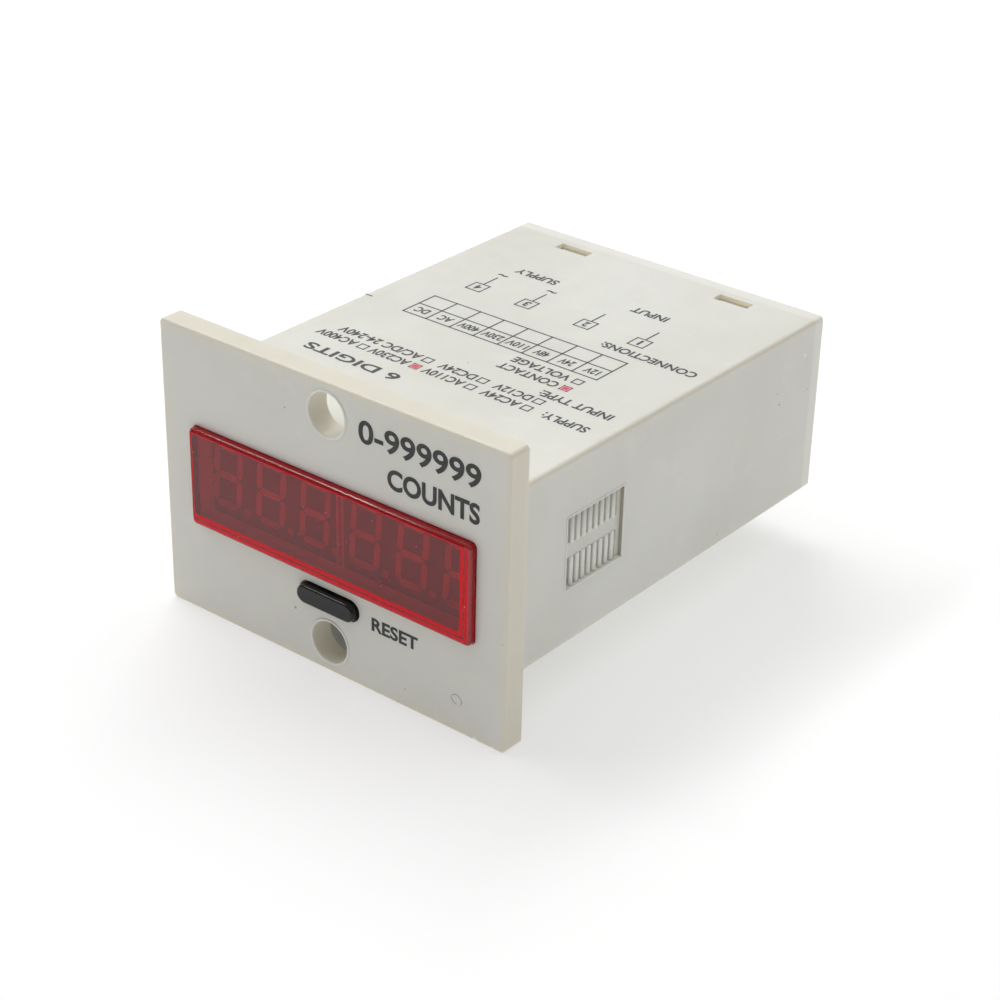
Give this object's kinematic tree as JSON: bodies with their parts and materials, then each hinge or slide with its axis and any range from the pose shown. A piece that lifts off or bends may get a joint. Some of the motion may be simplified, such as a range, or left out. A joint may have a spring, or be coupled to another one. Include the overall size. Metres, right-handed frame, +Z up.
{
  "type": "panel counter",
  "caption": "Flange-mounted electronic counter with a red display window, a reset key, a vented box body and screw terminals at the rear.",
  "frame": {"origin": "centre of the bezel's rear face, midway between the two screw holes, in the plane of the panel", "axes": "+X to the right as seen by the reader, +Y to the rear of the panel, +Z up"},
  "size_m": [0.056, 0.0708, 0.04],
  "materials": {
    "cream_abs": "fine matt moulding",
    "red_lens": "polished, clear red",
    "black_key": "satin",
    "display_face": "satin",
    "display_segment": "diffusing red",
    "board": "solder mask",
    "tinned": "tinned",
    "black_epoxy": "moulded",
    "white_epoxy": "moulded",
    "crystal_can": "drawn can",
    "yellow_box": "moulded box",
    "capacitor_sleeve": "shrunk sleeve",
    "resistor_coat": "lacquer",
    "plunger_white": "moulded",
    "brass": "stamped",
    "plated_steel": "zinc plated"
  },
  "bodies": {
    "housing": {"case": "cream_abs", "display_lens": "red_lens", "rear_cover": "cream_abs", "display_board": "board", "main_board": "board", "led_module_left": "display_face", "led_module_right": "display_face", "led_segments_left": "display_segment", "led_segments_right": "display_segment", "led_pins_left": "tinned", "led_pins_right": "tinned", "switch_body": "black_epoxy", "switch_cover": "tinned", "switch_dome": "tinned", "switch_pins": "tinned", "board_solder": "tinned", "controller_chip": "black_epoxy", "controller_pins": "tinned", "memory_chip": "black_epoxy", "memory_pins": "tinned", "opto_coupler": "white_epoxy", "opto_pins": "tinned", "crystal": "crystal_can", "crystal_leads": "tinned", "film_capacitor": "yellow_box", "film_capacitor_leads": "tinned", "filter_capacitor": "capacitor_sleeve", "filter_capacitor_leads": "tinned", "rectifier_diodes": "black_epoxy", "diode_leads": "tinned", "digit_drivers": "black_epoxy", "driver_leads": "tinned", "segment_resistors": "resistor_coat", "resistor_leads": "tinned", "terminal_plates": "brass", "terminal_washers": "plated_steel", "terminal_screws": "plated_steel"},
    "key": {"reset_button": "black_key", "switch_plunger": "plunger_white"}
  },
  "joints": [
    {"name": "reset_press", "type": "slide", "parent": "housing", "child": "key", "axis": [0, 1, 0], "range_m": [0, 0.0004], "stiffness_N_per_m": 400, "springref_m": -0.0015, "deforming": ["switch_dome"]}
  ]
}
